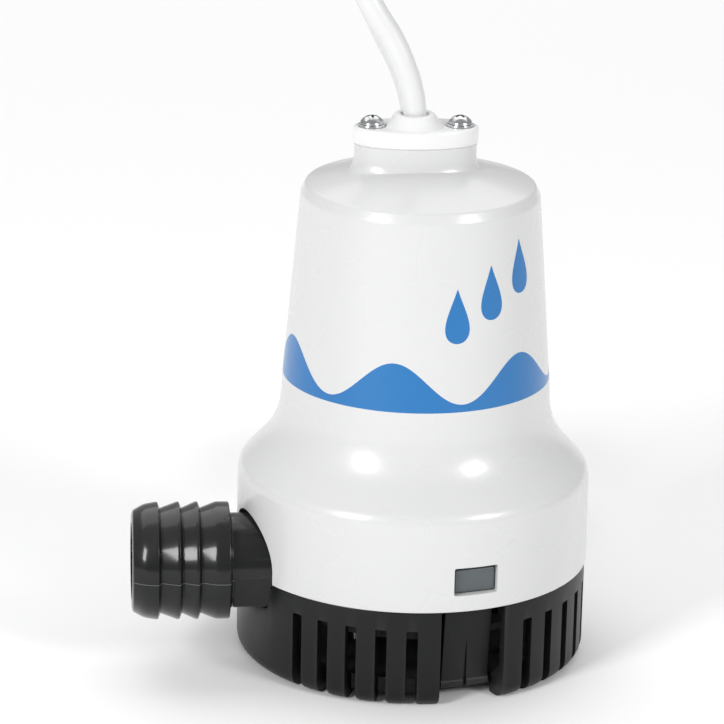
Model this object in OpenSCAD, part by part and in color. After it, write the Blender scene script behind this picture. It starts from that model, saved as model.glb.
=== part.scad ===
// Submersible bilge pump: snap-off strainer, centrifugal stage, sealed DC motor, supply cable.
// The origin is on the pump's axis at the plane of the feet. +Z is up, the hose barb points along -X.

/* [Housing] */
// Outer radius of the housing's skirt and of the strainer
skirt_r = 45; // [44.5:0.1:46]
// Height of the joint between strainer and housing
joint_z = 25.3; // [25:0.1:25.6]
// Wall of the moulded housing
wall = 2.2; // [2:0.1:2.5]
// Outer radius at the bottom of the upper body
body_low_r = 34.6; // [34.4:0.1:35]
// Outer radius at the top of the upper body
body_top_r = 30; // [29.5:0.1:30.5]
// Height of the top of the upper body
body_top_z = 120.8; // [120.3:0.5:121]

/* [Cable cap] */
// Length of the oval cap
cap_len = 31.2; // [30:0.1:32]
// Depth of the oval cap
cap_depth = 16; // [15:0.5:17]
// Height of the seam between neck and cap
seam_z = 133.3; // [132.5:0.1:134]
// Thickness of the cap
cap_t = 4.3; // [4:0.1:5]
// Distance between the two cap screws
cap_screw_gap = 22; // [21:0.5:22.5]

/* [Hose barb] */
// Radius over the ridges, for a 28.6 mm hose
barb_r = 14.85; // [14.5:0.05:15]
// Radius between the ridges
barb_root_r = 13.3; // [13:0.1:13.5]
// Radius of the waterway
bore_r = 9.8; // [9:0.1:9.8]
// Distance from the pump's axis to the mouth
barb_reach = 72.2; // [72:0.1:74]
// Height of the barb's axis
barb_z = 27.6; // [27.4:0.1:27.8]

/* [Strainer] */
// Width of a slot
slot_w = 2.9; // [2.5:0.1:3.2]
// Height of the top of the slots
slot_top = 20.3; // [18:0.1:20.5]
// Circle of the mounting screws
mount_pcd = 56; // [50:1:60]
// Radius of a mounting hole
mount_hole_r = 2.3; // [2:0.1:2.5]
// Bearing of the front release tab, from -Y towards +X
tab_bearing = 15.3; // [14:0.1:17]

/* [Motor] */
// Radius of the motor shaft
shaft_r = 2; // [1.5:0.1:2.5]
// Outer radius of the motor can
can_r = 24.5; // [24:0.1:25]
// Radius of the impeller
impeller_r = 21; // [18:0.5:22]

/* [Cable] */
// Diameter of the supply cable
cable_d = 5.9; // [5.9:0.1:5.9]
// Radius of the coil at the middle of its turns
coil_r = 31; // [30:1:33]

/* [Hidden] */
$fn = 96;
eps = 0.01;

// Housing heights
crease_z = 48.6;
shoulder_z = 66;
seat_r = 33.1;
socket_r = 35.3;
seat_z = 44;
rim_r = 2;
dome_r = 76;
dome_c = body_top_z - sqrt(pow(dome_r - rim_r, 2) - pow(body_top_r - rim_r, 2));
dome_z = dome_c + dome_r;
neck_z = 123;
neck_len = cap_len - 0.6;
neck_depth = cap_depth - 0.6;
cap_x = -1.6;
cap_top = seam_z + cap_t;
boss_top = cap_top + 3.2;
gland_x = -2;
gland_hole_r = 3.5;
sleeve_r = 6.5;
sleeve_z = 128;
cap_hole_r = 1.8;
cap_shank_r = 1.5;
washer_t = 0.5;

// Hose barb places
barb_y = -12.6;
barb_neck_r = 12;
mouth_r = 12.5;
ridge_x = [65.9, 60.5, 55.8];
land_x = [51, 47.7];
notch_r = 12.5;
notch_z = barb_z + 0.6;
pad_half = [11.6, 9.9];
pad_top = barb_z - 0.5;
pad_bottom = 18.2;
bore_end = 46;
throat_r = 7.8;

// Pump stage
casing_r = 36.5;
chamber_r = 25.5;
chamber_z = [17, 37];
cover_z = [14, 17];
casing_top = 41;
eye_r = 11;
stage_screw_r = 29.5;
stage_screw_bearings = [60, 150, 240, 330];
shaft_gap = 0.06;

// Motor heights
plate_z = 45;
spigot_top = 56;
can_top = 104;
bell_top = 110;
bolt_x = 21;

// Strainer
strainer_r = 44.6;
strainer_wall = 2;
floor_z = [2.5, 5];
foot_round = 5;
tab_slot_angle = 22;
slot_first = 20.2;
slots_per_side = 15;
slot_pitch = (180 - 2 * slot_first) / (slots_per_side - 1);
blank_half = 42.3;
slot_foot_r = 41.2;
foot_gap = 1.8;
tab_pivot_r = 37.8;
tab_pivot_z = 4;
tab_top = 37;
tab_w = 12.6;
window_w = 10.9;
latch_w = window_w - 1;
window_z = [29.8, 36.3];

// Cable route: straight out of the boss, over the top and down behind the pump
cable_route = [
    [-2, 0, 126], [-2, 0, 134], [-2, 0, 141], [-3, 0.5, 147], [-5, 0.5, 153], [-8, 1, 159.5],
    [-11.5, 1, 165], [-14.5, 1.5, 170], [-20.5, 4.5, 179], [-25, 11, 186.5], [-28.5, 20.5, 191],
    [-30, 31.5, 192], [-28.5, 42.5, 189.5], [-25.5, 51, 183.5], [-21, 57, 175.5],
    [-15, 58.5, 166], [-9.5, 58, 157], [-4.5, 57, 147], [0, 56.5, 138], [3, 56, 127],
    [3, 56, 115], [-2, 56.5, 100], [-9, 57.5, 84], [-16, 58, 70], [-21, 58.5, 54],
    [-21, 60.5, 43.5], [-20, 66.5, 34], [-19, 75.5, 28], [-18, 86.5, 26], [-17, 94.5, 26]];
tail_route = [[45.5, 96, 4.5], [44.5, 84, 4], [43, 72, 3], [43, 62, 3]];
coil_centre = [14.5, 99];
coil_z = [1.3, 29];
tie_t = 1.2;
core_r = 1.1;

// ---- helpers -----------------------------------------------------------------------------
function arc(c, r, from, to, n = 8) =
    [for (i = [0:n]) let (a = from + (to - from) * i / n) [c[0] + r * cos(a), c[1] + r * sin(a)]];
function unit(v) = v / norm(v);
function heading(p, i) = unit(p[min(i + 1, len(p) - 1)] - p[max(i - 1, 0)]);
function bearing(a, r) = [r * sin(a), -r * cos(a)];

// Round tube along a list of points, one ring of corners at each point
module tube(points, d, sides = 10, side = [0, 1, 0]) {
    rings = [for (i = [0:len(points) - 1])
        let (t = heading(points, i), u = unit(cross(t, side)), v = cross(t, u))
        for (k = [0:sides - 1]) let (a = 360 * k / sides)
            points[i] + d / 2 * (cos(a) * u + sin(a) * v)];
    last = (len(points) - 1) * sides;
    walls = [for (i = [0:len(points) - 2], k = [0:sides - 1]) let (n = (k + 1) % sides)
        [i * sides + k, i * sides + n, (i + 1) * sides + n, (i + 1) * sides + k]];
    polyhedron(rings, concat(walls, [[for (k = [sides - 1:-1:0]) k]],
        [[for (k = [0:sides - 1]) last + k]]), convexity = 6);
}

// Ring with a rectangular section
module ring(inner, outer, z0, z1) {
    rotate_extrude() translate([inner, z0]) square([outer - inner, z1 - z0]);
}

// Oval plan of the neck and the cap: two shallow arcs with the ends rounded off
module oval(length, depth) {
    bow = (pow(length / 2 + 1.4, 2) + pow(depth / 2, 2)) / depth;
    intersection() {
        translate([0, bow - depth / 2]) circle(bow, $fn = 180);
        translate([0, depth / 2 - bow]) circle(bow, $fn = 180);
        circle(length / 2);
    }
}

module at_cap_screws() {
    for (s = [-1, 1]) translate([cap_x + s * cap_screw_gap / 2, 0, 0]) children();
}

module at_stage_screws() {
    for (a = stage_screw_bearings)
        translate([stage_screw_r * cos(a), stage_screw_r * sin(a), 0]) children();
}

// ---- casing and cap ----------------------------------------------------------------------
module motor_housing() {
    color([0.93, 0.93, 0.92]) difference() {
        union() {
            housing_shell();
            translate([cap_x, 0, neck_z]) linear_extrude(seam_z - neck_z)
                oval(neck_len, neck_depth);
        }
        // Notch for the hose barb, cut up from the skirt's edge
        translate([0, barb_y, notch_z]) rotate([0, -90, 0]) cylinder(h = 60, r = notch_r);
        translate([-60, barb_y - notch_r, 0]) cube([60, 2 * notch_r, notch_z]);
        // Windows that the release tabs latch into
        for (a = [tab_bearing, tab_bearing + 180]) rotate(a)
            translate([-window_w / 2, -skirt_r - 2, window_z[0]])
                cube([window_w, 6, window_z[1] - window_z[0]]);
        // Socket of the rubber gland, and the way through to the motor
        translate([gland_x, 0, sleeve_z]) cylinder(h = 10, r = sleeve_r);
        translate([gland_x, 0, neck_z - 4]) cylinder(h = 12, r = 4.5);
        at_cap_screws() translate([0, 0, seam_z - 8]) cylinder(h = 10, r = cap_shank_r, $fn = 32);
    }
}

// Skirt, shoulder and upper body with an inner socket wall for the motor's bulkhead
module housing_shell() {
    slope_r = 1.6;
    throat = 7;
    rim_angle = acos((body_top_r - rim_r) / (dome_r - rim_r));
    rotate_extrude(convexity = 6) polygon(concat(
        [[skirt_r, joint_z]],
        arc([skirt_r - 0.5 - slope_r, crease_z - slope_r], slope_r, 0, 47, 4),
        arc([body_low_r + throat * 0.98, 62.4], throat, 223, 176, 8),
        [[body_low_r - 0.25, shoulder_z + 4]],
        arc([body_top_r - rim_r, body_top_z], rim_r, 0, rim_angle, 6),
        arc([0, dome_c], dome_r, rim_angle, 90, 8),
        arc([0, dome_c], dome_r - wall, 90, rim_angle + 3, 5),
        [[body_top_r - wall - 0.4, body_top_z - 0.4],
         [body_top_r - wall, body_top_z - 3], [body_low_r - wall, shoulder_z],
         [seat_r, 58], [seat_r, seat_z], [socket_r, seat_z], [socket_r, 54.6],
         [skirt_r - wall - 0.3, crease_z - 1.5], [skirt_r - wall, joint_z]]));
}

module cable_cap() {
    color([0.94, 0.94, 0.93]) difference() {
        union() {
            translate([cap_x, 0, seam_z]) linear_extrude(cap_t) oval(cap_len, cap_depth);
            translate([gland_x, 0, 0]) rotate_extrude() polygon(concat(
                [[0, cap_top - 1], [6.6, cap_top - 1], [7, cap_top]],
                arc([8.7, boss_top - 0.4], 2.8, 235, 180, 5),
                arc([5.3, boss_top - 0.6], 0.6, 0, 90, 3), [[0, boss_top]]));
        }
        translate([gland_x, 0, seam_z - 1]) cylinder(h = 12, r = gland_hole_r);
        translate([gland_x, 0, seam_z - 1]) cylinder(h = 3.5, r = sleeve_r);
        at_cap_screws() translate([0, 0, seam_z - 1]) cylinder(h = 8, r = cap_hole_r, $fn = 32);
    }
}

module cap_screws() {
    head = 2.2;
    color([0.72, 0.73, 0.74]) at_cap_screws() translate([0, 0, cap_top + washer_t]) difference() {
        union() {
            rotate_extrude() polygon(concat([[0, 0], [3, 0], [3, 0.5]],
                arc([0, head - 4.2], 4.2, 50, 90, 6)));
            translate([0, 0, -11]) cylinder(h = 11.5, r = cap_shank_r, $fn = 32);
        }
        for (a = [0, 90]) rotate(a) translate([-1.6, -0.35, head - 1.2]) cube([3.2, 0.7, 2]);
    }
}

module cap_washers() {
    color([0.66, 0.67, 0.68]) at_cap_screws() ring(cap_hole_r, 3.4, cap_top, cap_top + washer_t);
}

module cable_grommet() {
    color([0.12, 0.12, 0.12]) translate([gland_x, 0, 0])
        ring(cable_d / 2, sleeve_r, sleeve_z, seam_z + 2.5);
}

// ---- pump stage --------------------------------------------------------------------------
module volute_casing() {
    color([0.09, 0.09, 0.1]) difference() {
        union() {
            ring(chamber_r, 28, cover_z[1], casing_top);
            ring(6.2, casing_r, chamber_z[1], casing_top);
            ring(chamber_r, casing_r, cover_z[1], cover_z[1] + 3);
            at_stage_screws() translate([0, 0, cover_z[1]])
                cylinder(h = casing_top - cover_z[1], r = 3.8, $fn = 48);
            hose_barb();
        }
        translate([0, 0, chamber_z[0] - 1])
            cylinder(h = chamber_z[1] - chamber_z[0] + 1, r = chamber_r);
        // Seat of the inlet cover, which also closes the waterway from below
        translate([0, 0, cover_z[0] - 1]) cylinder(h = cover_z[1] - cover_z[0] + 1, r = 34);
        translate([0, barb_y, barb_z]) rotate([0, -90, 0]) {
            cylinder(h = 60, r = throat_r);
            translate([0, 0, bore_end]) cylinder(h = 30, r = bore_r);
        }
        at_stage_screws() translate([0, 0, cover_z[0] - 1]) cylinder(h = 40, r = 1.6, $fn = 32);
    }
}

// Hose barb with three ridges and a land. Its neck is round above and square below, as a pad
module hose_barb() {
    slope_end = [mouth_r, barb_root_r, barb_root_r];
    difference() {
        translate([0, barb_y, barb_z]) rotate([0, -90, 0]) rotate_extrude() polygon(concat(
            [[0, 20], [barb_neck_r, 20], [barb_neck_r, land_x[1] - 1], [barb_r, land_x[1]],
             [barb_r, land_x[0]], [barb_root_r, ridge_x[2] - 0.9]],
            [for (i = [2:-1:0]) each [[barb_r, ridge_x[i] - 0.2], [barb_r, ridge_x[i] + 0.4],
                [slope_end[i], i == 0 ? barb_reach : ridge_x[i - 1] - 0.9]]],
            [[0, barb_reach]]));
        translate([-land_x[1] + 0.9, barb_y - 20, 0]) cube([40, 40, pad_top]);
    }
    difference() {
        translate([-land_x[1] + 0.8, barb_y, 0]) rotate([90, 0, 90]) linear_extrude(20)
            pad_outline(0);
        translate([0, 0, -1]) cylinder(h = 60, r = 27);
    }
}

// Section of the pad under the barb's neck, from the neck's middle down
module pad_outline(gap) {
    polygon([[-pad_half[0] - gap, pad_top], [-pad_half[1] - gap, pad_bottom + 1 - gap],
        [1 - pad_half[1] - gap, pad_bottom - gap], [pad_half[1] - 1 + gap, pad_bottom - gap],
        [pad_half[1] + gap, pad_bottom + 1 - gap], [pad_half[0] + gap, pad_top]]);
}

module volute_cover() {
    color([0.1, 0.1, 0.11]) difference() {
        union() {
            ring(eye_r, 33.6, cover_z[0], cover_z[1]);
            ring(eye_r, eye_r + 2, cover_z[0] - 2, cover_z[1]);
        }
        at_stage_screws() translate([0, 0, cover_z[0] - 1]) cylinder(h = 6, r = 1.6, $fn = 32);
    }
}

module volute_screws() {
    color([0.7, 0.71, 0.72]) at_stage_screws() difference() {
        union() {
            translate([0, 0, cover_z[0] - 2.2]) cylinder(h = 2.2, r = 2.8, $fn = 48);
            translate([0, 0, cover_z[0] - 0.5]) cylinder(h = 38, r = 1.5, $fn = 32);
        }
        for (a = [0, 90]) rotate(a) translate([-1.6, -0.35, cover_z[0] - 3]) cube([3.2, 0.7, 2]);
    }
}

module impeller() {
    blade_z = chamber_z[0] + 3.5;
    top = chamber_z[1] - 1.5;
    color([0.15, 0.15, 0.16]) difference() {
        union() {
            translate([0, 0, top - 2]) cylinder(h = 2, r = impeller_r);
            translate([0, 0, blade_z]) cylinder(h = top - blade_z, r = 5);
            for (a = [0:60:300]) rotate(a) intersection() {
                translate([8, 10.5, blade_z]) ring(12.2, 14, 0, top - blade_z - 1.2);
                translate([7.5, -5, blade_z]) cube([20, 13, top - blade_z]);
                ring(4.5, impeller_r - 0.6, blade_z, top);
            }
        }
        translate([0, 0, blade_z - 1]) cylinder(h = 20, r = shaft_r, $fn = 48);
    }
}

module impeller_nut() {
    nut_z = chamber_z[0] + 0.3;
    color([0.78, 0.66, 0.35]) difference() {
        translate([0, 0, nut_z]) cylinder(h = 3.2, r = 4, $fn = 6);
        translate([0, 0, nut_z - 1]) cylinder(h = 6, r = shaft_r, $fn = 48);
    }
}

// ---- bulkhead ----------------------------------------------------------------------------
module motor_base_plate() {
    groove = [48.5, 50.6];
    color([0.14, 0.14, 0.15]) difference() {
        union() {
            translate([0, 0, casing_top]) cylinder(h = seat_z - casing_top, r = 38.3);
            translate([0, 0, seat_z - eps]) cylinder(h = plate_z - seat_z, r = seat_r - 0.1);
            ring(30.2, seat_r - 0.1, seat_z, spigot_top);
            translate([0, 0, plate_z - eps]) cylinder(h = 12, r = 8.6);
            intersection() {
                at_stage_screws() translate([0, 0, seat_z]) cylinder(h = 10, r = 3.4, $fn = 48);
                cylinder(h = 100, r = seat_r - 0.1);
            }
        }
        ring(31.4, seat_r + 1, groove[0], groove[1]);
        translate([0, 0, casing_top - 1]) cylinder(h = 6, r = 6.2);
        translate([0, 0, casing_top]) cylinder(h = 12, r = 2.6, $fn = 48);
        translate([0, 0, 50]) cylinder(h = 10, r = 5.2);
        at_stage_screws() translate([0, 0, casing_top - 1]) cylinder(h = 11.8, r = 1.5, $fn = 32);
        for (s = [-1, 1]) translate([s * bolt_x, 0, plate_z - 3.5]) cylinder(h = 6, r = 1.5, $fn = 32);
    }
}

module bulkhead_oring() {
    color([0.08, 0.08, 0.08]) rotate_extrude() translate([32.25, 49.55]) circle(0.85, $fn = 32);
}

module shaft_seal() {
    color([0.2, 0.12, 0.1]) ring(shaft_r + shaft_gap, 6.2, 41.5, 46);
}

module lower_bearing() {
    color([0.72, 0.55, 0.3]) ring(shaft_r + shaft_gap, 5.2, 50, 56);
}

module upper_bearing() {
    color([0.72, 0.55, 0.3]) ring(shaft_r + shaft_gap, 5.2, 105.5, bell_top);
}

// ---- rotor -------------------------------------------------------------------------------
module motor_shaft() {
    color([0.75, 0.76, 0.78]) translate([0, 0, 17]) cylinder(h = bell_top - 17.4, r = shaft_r, $fn = 64);
}

module armature_core() {
    color([0.45, 0.46, 0.48]) difference() {
        ring(shaft_r, 18, 62, 88);
        for (a = [0:45:315]) rotate(a) {
            translate([8, -2, 60]) cube([8.2, 4, 30]);
            translate([15, -0.8, 60]) cube([5, 1.6, 30]);
        }
    }
}

module armature_windings() {
    color([0.72, 0.38, 0.2]) {
        ring(4.2, 16, 58, 62);
        ring(4.2, 16, 88, 92);
        for (a = [0:45:315]) rotate(a) translate([8.2, -1.9, 60]) cube([7.8, 3.8, 30]);
    }
}

module commutator() {
    color([0.75, 0.5, 0.3]) difference() {
        ring(shaft_r, 7, 93, 101);
        for (a = [0:45:315]) rotate(a) translate([5.6, -0.3, 92]) cube([3, 0.6, 10]);
    }
}

// ---- stator and brush gear ---------------------------------------------------------------
module motor_can() {
    color([0.62, 0.63, 0.65]) union() {
        ring(can_r - 1.2, can_r, plate_z, can_top);
        ring(can_r - 1.2, can_r + 1.2, plate_z, plate_z + 1);
    }
}

module field_magnets() {
    color([0.25, 0.25, 0.27]) for (a = [20, 200]) rotate(a)
        rotate_extrude(angle = 140) translate([18.9, 60]) square([can_r - 1.2 - 18.9, 32]);
}

module motor_end_bell() {
    color([0.16, 0.16, 0.17]) difference() {
        union() {
            translate([0, 0, can_top]) cylinder(h = bell_top - can_top - 2, r = can_r);
            translate([0, 0, can_top]) cylinder(h = bell_top - can_top, r = 8);
        }
        ring(8, can_r - 2.5, can_top - 1, can_top + 2);
        translate([0, 0, can_top - 1]) cylinder(h = 10, r = 3, $fn = 48);
        translate([0, 0, 105.5]) cylinder(h = 10, r = 5.2);
        for (s = [-1, 1]) translate([s * bolt_x, 0, can_top - 1]) cylinder(h = 10, r = 1.6, $fn = 32);
        for (s = [-1, 1]) translate([s * 4 - 0.5, 11, can_top - 1]) cube([1, 4, 10]);
    }
}

module motor_screws() {
    bottom = plate_z - 3.5;
    top = bell_top - 2;
    color([0.7, 0.71, 0.72]) for (s = [-1, 1]) translate([s * bolt_x, 0, 0]) {
        translate([0, 0, bottom]) cylinder(h = top - bottom, r = 1.5, $fn = 32);
        difference() {
            translate([0, 0, top]) cylinder(h = 2.2, r = 2.8, $fn = 48);
            translate([-2, -0.4, top + 1.2]) cube([4, 0.8, 2]);
        }
    }
}

module brush_card() {
    color([0.5, 0.35, 0.2]) difference() {
        ring(9, can_r - 1.3, 102, 103.6);
        for (s = [-1, 1]) translate([s * bolt_x, 0, 100]) cylinder(h = 6, r = 1.8, $fn = 32);
        for (s = [-1, 1]) translate([s * 4 - 0.5, 11, 100]) cube([1, 4, 6]);
    }
}

module brush_holders() {
    color([0.8, 0.66, 0.3]) for (a = [90, 270]) rotate(a) difference() {
        translate([9, -3.4, 94.6]) cube([11, 6.8, 7.4]);
        translate([8, -2.6, 95.4]) cube([11.2, 5.2, 5.8]);
    }
}

module carbon_brushes() {
    color([0.13, 0.13, 0.14]) for (a = [90, 270]) rotate(a) difference() {
        translate([6, -2.5, 95.5]) cube([8, 5, 5.6]);
        translate([0, 0, 90]) cylinder(h = 20, r = 7.3);
    }
}

module brush_springs() {
    color([0.7, 0.71, 0.72]) for (a = [90, 270]) rotate(a)
        translate([14, 0, 98.3]) rotate([0, 90, 0]) difference() {
            cylinder(h = 5.2, r = 2.2, $fn = 32);
            translate([0, 0, -1]) cylinder(h = 8, r = 1.7, $fn = 32);
        }
}

module motor_terminals() {
    color([0.8, 0.66, 0.3]) for (s = [-1, 1]) translate([s * 4 - 0.4, 11.1, 102]) cube([0.8, 3.8, 12]);
}

module noise_capacitor() {
    color([0.75, 0.45, 0.15]) translate([0, -12, 111.6]) rotate([0, 90, 0])
        cylinder(h = 4, r = 3.6, $fn = 48, center = true);
}

module inner_lead(side) {
    tube([[gland_x + side * 1.4, 0, 126], [gland_x + side * 1.4, 0, 121],
        [gland_x / 2 + side * 3, 5, 117], [side * 5.6, 10, 115], [side * 5.5, 13, 112],
        [side * 5.5, 13, 109]], 2 * core_r, 8, [0.3, 0.2, 1]);
}

module lead_positive() {
    color([0.4, 0.24, 0.14]) inner_lead(1);
}

module lead_negative() {
    color([0.1, 0.1, 0.1]) inner_lead(-1);
}

// ---- strainer and its tabs ---------------------------------------------------------------
module strainer_base() {
    color([0.1, 0.1, 0.11]) difference() {
        union() {
            rotate_extrude(convexity = 4) polygon(concat(
                [[strainer_r, joint_z]],
                arc([strainer_r - foot_round, foot_round], foot_round, 0, -68, 6),
                [[strainer_r - foot_round - 1, 0.2], [strainer_r - foot_round - 1.2, floor_z[0]],
                 [0, floor_z[0]], [0, floor_z[1]], [38.5, floor_z[1]],
                 [strainer_r - strainer_wall, floor_z[1] + 3], [strainer_r - strainer_wall, joint_z]]));
            feet();
            // Locating lip inside the skirt
            ring(strainer_r - strainer_wall - 1.6, strainer_r - strainer_wall, joint_z - 3, joint_z + 2.4);
            mount_bosses();
        }
        strainer_slots();
        for (a = [tab_bearing, tab_bearing + 180]) rotate(a) tab_opening();
        // Way out for the pad under the hose barb's neck
        translate([-60, barb_y, 0]) rotate([90, 0, 90]) linear_extrude(40) pad_outline(0.3);
        translate([-60, barb_y - pad_half[0] - 0.3, pad_top - 3]) cube([40, 2 * pad_half[0] + 0.6, 9]);
        for (a = [45:90:315]) rotate(a) translate([mount_pcd / 2, 0, -1])
            cylinder(h = 10, r = mount_hole_r, $fn = 48);
    }
}

// Flat pads that the ribs stand on
module feet() {
    ring(strainer_r - foot_round - 1.2, strainer_r - foot_round + 1.6, 0, floor_z[1]);
}

module mount_bosses() {
    for (a = [45:90:315]) rotate(a) translate([mount_pcd / 2, 0, 0])
        cylinder(h = floor_z[1], r = 5, $fn = 64);
}

module strainer_slots() {
    for (side = [0, 180], k = [0:slots_per_side - 1]) {
        a = tab_bearing + side + slot_first + slot_pitch * k;
        if (abs((a % 360) - 270) > blank_half) rotate(a)
            strainer_slot();
    }
}

// Slot through the wall, and the gap that it leaves between two feet
module strainer_slot() {
    translate([-slot_w / 2, -50, -1]) cube([slot_w, 50 - slot_foot_r, slot_top + 1]);
    translate([-slot_w / 2, -50, -1]) cube([slot_w, 14, 1 + foot_gap]);
}

module tab_opening() {
    intersection() {
        translate([0, 0, -1]) linear_extrude(joint_z + 6) polygon([[0, 0],
            60 * [sin(-tab_slot_angle / 2), -cos(tab_slot_angle / 2)],
            60 * [sin(tab_slot_angle / 2), -cos(tab_slot_angle / 2)]]);
        translate([-30, -60, -1]) cube([60, 24, joint_z + 6]);
    }
}

// Release tab in the tab's own frame: -Y outwards, hinged at its foot
module release_tab() {
    latch_z = [window_z[0] + 0.3, window_z[1] - 1.2];
    color([0.09, 0.09, 0.1]) {
        difference() {
            rotate([90, 0, 90]) linear_extrude(tab_w, center = true) polygon([
                [-tab_pivot_r - 1.3, tab_pivot_z], [-38.9, 5.4], [-40.6, 24.2], [-41.4, 26],
                [-41.4, tab_top - 0.8], [-40.8, tab_top], [-39.8, tab_top], [-39.8, 26],
                [-38.6, 23], [-36.8, tab_pivot_z]]);
            // Shallow draft groove, widening downwards
            translate([0, -38.1, 5]) rotate([5.2, 0, 0]) rotate([90, 0, 0]) linear_extrude(5)
                polygon([[0, 12.5], [-0.7, -3], [0.7, -3]]);
        }
        translate([0, -tab_pivot_r, tab_pivot_z]) rotate([0, 90, 0])
            cylinder(h = tab_w, r = 1.4, $fn = 48, center = true);
    }
    color([0.45, 0.49, 0.5]) translate([-latch_w / 2, -43.7, latch_z[0]])
        cube([latch_w, 2.4, latch_z[1] - latch_z[0]]);
}

module release_tab_front() {
    rotate(tab_bearing) release_tab();
}

module release_tab_rear() {
    rotate(tab_bearing + 180) release_tab();
}

// ---- supply cable ------------------------------------------------------------------------
module supply_cable() {
    color([0.92, 0.92, 0.91]) tube(cable_route, cable_d, 10, [0.6, 0.3, 0.1]);
}

module cable_coil() {
    color([0.92, 0.92, 0.91]) translate([coil_centre[0], coil_centre[1], 0])
        ring(coil_r - cable_d / 2, coil_r + cable_d / 2, coil_z[0], coil_z[1]);
}

module cable_tail() {
    color([0.92, 0.92, 0.91]) tube(tail_route, cable_d, 10, [0, 0, 1]);
}

module cable_tie() {
    inner = coil_r - cable_d / 2;
    outer = coil_r + cable_d / 2;
    color([0.1, 0.1, 0.1]) translate([coil_centre[0], coil_centre[1], 0]) rotate(40)
        rotate_extrude(angle = 5) difference() {
            translate([inner - tie_t, coil_z[0] - tie_t])
                square([outer - inner + 2 * tie_t, coil_z[1] - coil_z[0] + 2 * tie_t]);
            translate([inner, coil_z[0]]) square([outer - inner, coil_z[1] - coil_z[0]]);
        }
}

module lead_end(offset) {
    start = tail_route[len(tail_route) - 1];
    tube([start + [offset, 0, 0], start + [offset, -3, 0], start + [offset * 1.3, -8, -0.6],
        start + [offset * 2.2, -18, -1.5]], 2 * core_r, 8, [0, 0, 1]);
}

module lead_end_positive() {
    color([0.4, 0.24, 0.14]) lead_end(-1.4);
}

module lead_end_negative() {
    color([0.1, 0.1, 0.1]) lead_end(1.4);
}

motor_housing();
cable_cap();
cap_screws();
cap_washers();
cable_grommet();
volute_casing();
volute_cover();
volute_screws();
motor_base_plate();
bulkhead_oring();
shaft_seal();
lower_bearing();
upper_bearing();
impeller();
impeller_nut();
motor_shaft();
armature_core();
armature_windings();
commutator();
motor_can();
field_magnets();
motor_end_bell();
motor_screws();
brush_card();
brush_holders();
carbon_brushes();
brush_springs();
motor_terminals();
noise_capacitor();
lead_positive();
lead_negative();
strainer_base();
release_tab_front();
release_tab_rear();
supply_cable();
cable_coil();
cable_tail();
cable_tie();
lead_end_positive();
lead_end_negative();
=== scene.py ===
import bpy
import math
from mathutils import Matrix, Vector


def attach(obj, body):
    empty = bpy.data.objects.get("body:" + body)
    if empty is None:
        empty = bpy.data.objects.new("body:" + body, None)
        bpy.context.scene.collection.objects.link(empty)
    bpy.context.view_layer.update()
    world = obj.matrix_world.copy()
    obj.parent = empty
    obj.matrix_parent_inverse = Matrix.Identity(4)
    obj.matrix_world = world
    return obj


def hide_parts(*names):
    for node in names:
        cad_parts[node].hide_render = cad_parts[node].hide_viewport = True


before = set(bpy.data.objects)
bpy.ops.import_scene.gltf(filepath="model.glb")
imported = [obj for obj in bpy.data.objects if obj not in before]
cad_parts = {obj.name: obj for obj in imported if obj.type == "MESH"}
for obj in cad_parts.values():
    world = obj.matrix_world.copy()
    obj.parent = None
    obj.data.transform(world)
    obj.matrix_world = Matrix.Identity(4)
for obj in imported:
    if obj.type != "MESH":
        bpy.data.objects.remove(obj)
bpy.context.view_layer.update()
mm = 0.001
print("frame loaded:", len(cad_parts), "CAD nodes")


# camera, floor and lights

shot = {
    "turn": 5.17, "tilt": 18.03, "roll": 1.28,  # degrees: towards the barb, above the floor, clockwise
    "distance": 0.9663, "lens": 189.7,
    "aimRight": -0.0137, "aimHeight": 0.0755,
}


def addCamera():
    turn, tilt = math.radians(shot["turn"]), math.radians(shot["tilt"])
    right = Vector((math.cos(turn), -math.sin(turn), 0))
    ahead = Vector((math.sin(turn) * math.cos(tilt), math.cos(turn) * math.cos(tilt), -math.sin(tilt)))
    aim = right * shot["aimRight"] + Vector((0, 0, shot["aimHeight"]))
    bpy.ops.object.camera_add(location=aim - ahead * shot["distance"])
    camera = bpy.context.object
    look = ahead.to_track_quat("-Z", "Y").to_matrix()
    camera.rotation_euler = (look @ Matrix.Rotation(math.radians(shot["roll"]), 3, "Z")).to_euler()
    camera.data.lens = shot["lens"]
    bpy.context.scene.camera = camera


studio = {
    "skyLight": 0.4,
    "floor": (0.95, 0.95, 0.95),
    # name, place, aim, width, height, turn in degrees, watts
    "boxes": [
        ("keyBox", (-0.74, -0.72, 0.53), (0, 0, 0.05), 0.27, 0.44, 0, 7.2),
        ("fillBox", (0.7, -0.7, 0.6), (0, 0, 0.06), 0.32, 0.32, 45, 4.6),
        ("topBox", (0.0, 1.9, 2.0), (0, 1.9, 0.0), 3.2, 3.2, 0, 46.0),
    ],
}


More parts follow.
